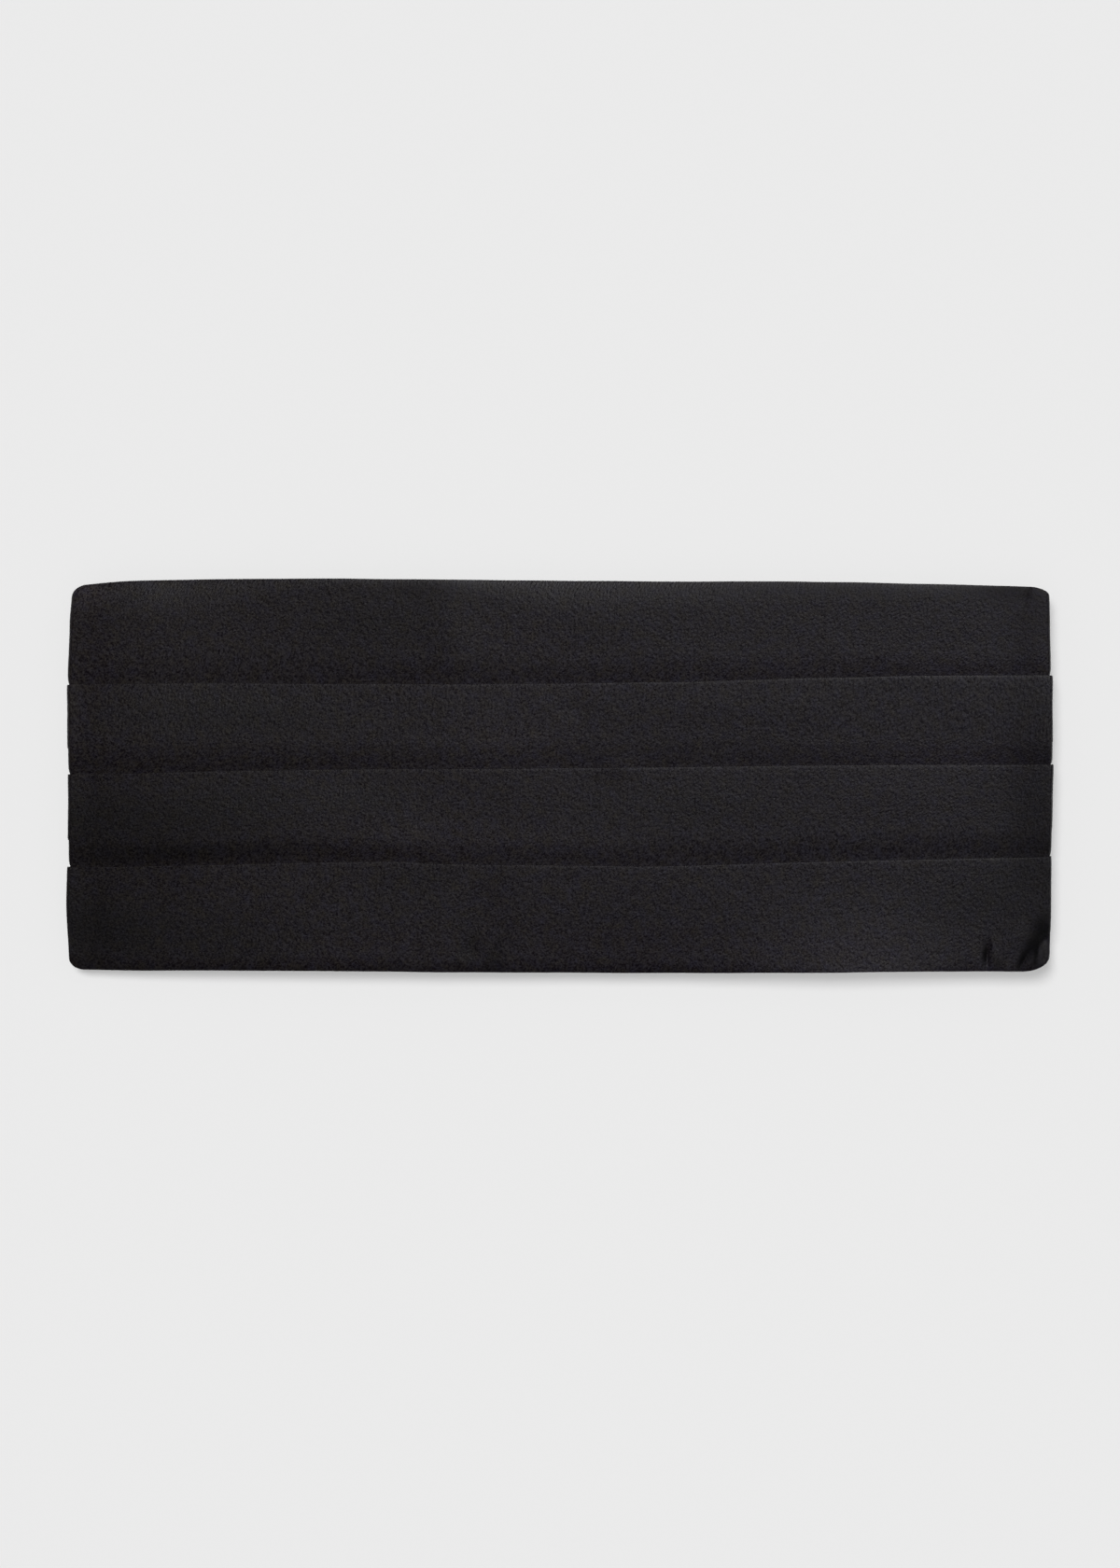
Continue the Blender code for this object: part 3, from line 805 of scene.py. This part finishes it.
def makeWeaveGroup():
    # satin floats: short threads side by side, uneven in height and shade
    group, start, end = newGroup(
        "satinWeave",
        [("Cloth", "NodeSocketVector", None), ("Grain", "NodeSocketFloat", 1.0)],
        [("Tone", "NodeSocketFloat"), ("Height", "NodeSocketFloat")],
    )
    cloth = start.outputs["Cloth"]
    inputs = {"Vector": placed(group, cloth, **weave["floats"]), "Scale": 1}
    floats = addNode(group, "ShaderNodeTexVoronoi", inputs, "floats", voronoi_dimensions="2D")
    shades = addNode(group, "ShaderNodeSeparateColor", {0: floats.outputs["Color"]}).outputs[0]
    slubs = noiseNode(group, placed(group, cloth, **weave["slubs"]), weave["slubDetail"])
    mottle = noiseNode(group, placed(group, cloth, **weave["mottle"]), weave["mottleDetail"])
    tone = mathNode(group, "MULTIPLY", shades, weave["floatShare"])
    tone = mathNode(group, "ADD", tone, mathNode(group, "MULTIPLY", slubs, weave["slubShare"]))
    tone = mathNode(group, "ADD", tone, mathNode(group, "MULTIPLY", mottle, weave["mottleShare"]))
    tone = rangeNode(group, "spread", tone, weave["spread"])
    grained = mathNode(group, "MULTIPLY", mathNode(group, "SUBTRACT", tone, 0.5), start.outputs["Grain"])
    raised = mathNode(group, "MULTIPLY", mottle, weave["mottleHeight"])
    outputs = {"Tone": mathNode(group, "ADD", grained, 0.5), "Height": mathNode(group, "ADD", slubs, raised)}
    fillInputs(group, end, outputs)
    return group


def weaveNode(tree, weaveGroup, cloth, grain=1):
    inputs = {"Cloth": cloth, "Grain": grain}
    return addNode(tree, "ShaderNodeGroup", inputs, "weave", node_tree=weaveGroup).outputs


satin = {
    "dark": (0.0013, 0.0002, 0.0016, 1),
    "light": (0.0153, 0.0133, 0.0158, 1),
    "warm": (1.05, 1.0, 0.72, 1),  # the dye drifts between these two tints
    "cool": (0.96, 1.0, 1.26, 1),
    "drift": {"scale": 260, "turn": 30},
    "driftDetail": 2,
    "driftRough": 0.6,
    "driftAlong": 0.4,  # cooler towards the right end, per metre
    "driftRange": (0.3, 0.7),
    "roughness": (0.40, 0.50),  # of the dark threads and the light ones
    "foldPolish": 0.08,  # pressed folds are this much glossier, and less grainy
    "foldCalm": 0.55,
    "specular": 0.147,
    "bump": 0.78,
    "bumpHeight": 0.22 * mm,
    "heightMid": 0.65,
    "grain": 1.0,
}


def makeSatin(weaveGroup):
    material, tree, shader = newMaterial("blackSatin")
    cloth = addNode(tree, "ShaderNodeUVMap", {}, uv_map="cloth").outputs[0]
    weaving = weaveNode(tree, weaveGroup, cloth, satin["grain"])
    # painted shade and highlights, multiplied into the base colour below
    paintedShade = attributeNode(tree, "paintedShade", "paintedShade")
    matt = attributeNode(tree, "matt", "matt nap")
    pressed = attributeNode(tree, "pressed", "pressed folds")
    threads = mixNode(tree, "thread shade", weaving["Tone"], satin["dark"], satin["light"])
    along = addNode(tree, "ShaderNodeSeparateXYZ", {0: cloth}).outputs["X"]
    cooler = mathNode(tree, "MULTIPLY", along, satin["driftAlong"])
    drift = noiseNode(tree, placed(tree, cloth, **satin["drift"]), satin["driftDetail"], satin["driftRough"])
    drift = rangeNode(tree, "dye drift", mathNode(tree, "ADD", drift, cooler), satin["driftRange"])
    tint = mixNode(tree, "dye tint", drift, satin["warm"], satin["cool"])
    dyed = mixNode(tree, "dyed", 1, threads, tint, "MULTIPLY")
    rough = rangeNode(tree, "thread gloss", weaving["Tone"], end=satin["roughness"])
    rough = mathNode(tree, "SUBTRACT", rough, mathNode(tree, "MULTIPLY", pressed, satin["foldPolish"]))
    level = mathNode(tree, "SUBTRACT", weaving["Height"], satin["heightMid"])
    calm = mathNode(tree, "SUBTRACT", 1.0, mathNode(tree, "MULTIPLY", pressed, satin["foldCalm"]))
    level = mathNode(tree, "MULTIPLY", level, calm)
    fillInputs(tree, shader, {
        # the base colour carries the painted shade and highlights
        "Base Color": mixNode(tree, "painted shade", 1, dyed, paintedShade, "MULTIPLY"),
        "Roughness": mathNode(tree, "ADD", rough, matt),
        "Specular IOR Level": satin["specular"],
        "Normal": bumpNode(tree, "threads", level, satin["bump"], satin["bumpHeight"]),
    })
    return material


lining = {
    "dark": (0.004, 0.004, 0.0042, 1),
    "light": (0.013, 0.013, 0.0135, 1),
    "roughness": 0.7,
    "specular": 0.2,
    "bump": 0.5,
    "bumpHeight": 0.15 * mm,
}


def makeLining(weaveGroup):
    material, tree, shader = newMaterial("blackLining")
    weaving = weaveNode(tree, weaveGroup, objectPlace(tree))
    fillInputs(tree, shader, {
        "Base Color": mixNode(tree, "thread shade", weaving["Tone"], lining["dark"], lining["light"]),
        "Roughness": lining["roughness"],
        "Specular IOR Level": lining["specular"],
        "Normal": bumpNode(tree, "threads", weaving["Height"], lining["bump"], lining["bumpHeight"]),
    })
    return material


elastic = {
    "dark": (0.004, 0.004, 0.0043, 1),
    "light": (0.022, 0.022, 0.0235, 1),
    "cordScale": 75,  # crosswise bands about 4 mm apart along the strap
    "cordWaver": 0.6,
    "roughness": 0.8,
    "specular": 0.25,
    "bump": 0.8,
    "bumpHeight": 0.12 * mm,
}


def makeElastic(weaveGroup):
    material, tree, shader = newMaterial("blackElastic")
    place = objectPlace(tree)
    weaving = weaveNode(tree, weaveGroup, place)
    inputs = {"Vector": place, "Scale": elastic["cordScale"], "Distortion": elastic["cordWaver"]}
    cords = addNode(tree, "ShaderNodeTexWave", inputs, "crosswise cords",
                    wave_type="BANDS", bands_direction="X")
    tone = mathNode(tree, "MULTIPLY", mathNode(tree, "ADD", weaving["Tone"], cords.outputs["Fac"]), 0.5)
    fillInputs(tree, shader, {
        "Base Color": mixNode(tree, "cord shade", tone, elastic["dark"], elastic["light"]),
        "Roughness": elastic["roughness"],
        "Specular IOR Level": elastic["specular"],
        "Normal": bumpNode(tree, "cords", tone, elastic["bump"], elastic["bumpHeight"]),
    })
    return material


lacquer = {
    "color": (0.012, 0.012, 0.013, 1),
    "worn": (0.10, 0.10, 0.105, 1),
    "scuffs": {"scale": 260, "turn": 20, "stretch": (1, 0.2, 1)},
    "scuffDetail": 4,
    "scuffRough": 0.7,
    "scuffRange": (0.66, 0.80),
    "roughness": (0.28, 0.46),
    "metallic": 0.6,
}


def makeLacquer():
    material, tree, shader = newMaterial("blackSteel")
    place = placed(tree, objectPlace(tree), **lacquer["scuffs"])
    scuffs = noiseNode(tree, place, lacquer["scuffDetail"], lacquer["scuffRough"])
    wear = rangeNode(tree, "scuffs", scuffs, lacquer["scuffRange"])
    fillInputs(tree, shader, {
        "Base Color": mixNode(tree, "lacquer", wear, lacquer["color"], lacquer["worn"]),
        "Roughness": rangeNode(tree, "gloss", scuffs, end=lacquer["roughness"]),
        "Metallic": lacquer["metallic"],
    })
    return material


# angles in degrees: tilts from straight down, and "azimuth" from +X in plan
studio = {
    "floor": (0.80, 0.80, 0.80, 1),
    "floorSize": 6,
    "floorBelow": 0.2 * mm,
    "floorRough": 0.9,
    "around": 0.10,
    "backdrop": 0.81,
    "key": {"strength": 1.41, "tilt": 25, "azimuth": 124, "soft": 26},  # gives no gloss
    "sheen": {"strength": 1.86, "tilt": 27, "azimuth": 56, "soft": 14},  # casts no shadow
    "boxes": [(135, 0.8), (315, 0.2)],  # azimuth and brightness of low softboxes, for gloss only
    "boxDistance": 1.7,
    "boxHeight": 0.62,
    "boxSize": (2.6, 1.1),
    "cameraDistance": 1.2297,
    "lens": 85,
    "aimX": 0.17 * mm,
    "aimY": -2.62 * mm,
}


def makeLamp(name, light, tilt, azimuth):
    lamp = bpy.data.objects.new(name, light)
    lamp.rotation_euler = (tilt, 0, azimuth + math.pi / 2)
    bpy.context.scene.collection.objects.link(lamp)
    return lamp


def makeSun(name, strength, tilt, azimuth, soft):
    light = bpy.data.lights.new(name, "SUN")
    light.energy = strength
    light.angle = math.radians(soft)
    return makeLamp(name, light, math.radians(tilt), math.radians(azimuth))


def makeSoftbox(name, azimuth, brightness):
    light = bpy.data.lights.new(name, "AREA")
    light.shape = "RECTANGLE"
    light.size, light.size_y = studio["boxSize"]
    light.energy = brightness * math.pi * light.size * light.size_y
    away, up = studio["boxDistance"], studio["boxHeight"]
    lamp = makeLamp(name, light, math.atan2(away, up), azimuth)
    lamp.location = (away * math.cos(azimuth), away * math.sin(azimuth), up)
    lamp.visible_camera = False
    lamp.visible_diffuse = False


def makeStage():
    scene = bpy.context.scene
    bm = bmesh.new()
    bmesh.ops.create_grid(bm, x_segments=1, y_segments=1, size=studio["floorSize"])
    bmesh.ops.translate(bm, vec=(0, 0, cadLow.z - studio["floorBelow"]), verts=bm.verts)
    paper, tree, shader = newMaterial("paleFloor")
    inputs = {"Base Color": studio["floor"], "Roughness": studio["floorRough"], "Specular IOR Level": 0}
    fillInputs(tree, shader, inputs)
    newObject("floor", bm, paper)
    world = bpy.data.worlds.new("studio")
    world.use_nodes = True
    tree = world.node_tree
    path = addNode(tree, "ShaderNodeLightPath", {})
    seen = mathNode(tree, "MULTIPLY", path.outputs["Is Camera Ray"], studio["backdrop"] - studio["around"])
    strength = mathNode(tree, "ADD", seen, studio["around"])
    fillInputs(tree, tree.nodes["Background"], {"Color": (1, 1, 1, 1), "Strength": strength})
    scene.world = world
    scene.view_settings.view_transform = "Standard"
    makeSun("keyLight", **studio["key"]).visible_glossy = False
    makeSun("sheenLight", **studio["sheen"]).data.use_shadow = False
    for number, (azimuth, brightness) in enumerate(studio["boxes"]):
        makeSoftbox("softbox%d" % (number + 1), math.radians(azimuth), brightness)
    camera = bpy.data.cameras.new("camera")
    camera.lens = studio["lens"]
    viewer = bpy.data.objects.new("camera", camera)
    viewer.location = (studio["aimX"], studio["aimY"], middleZ + studio["cameraDistance"])
    scene.collection.objects.link(viewer)
    scene.camera = viewer


threadGroup = makeWeaveGroup()
satinMaterial = makeSatin(threadGroup)
liningMaterial = makeLining(threadGroup)
makeInnerLayers(liningMaterial)
for tierNumber in range(len(tiers)):
    makeTier(tierNumber, satinMaterial)
makeStrap(makeElastic(threadGroup))
makeSlide(makeLacquer())
makeStage()
print("stage made")
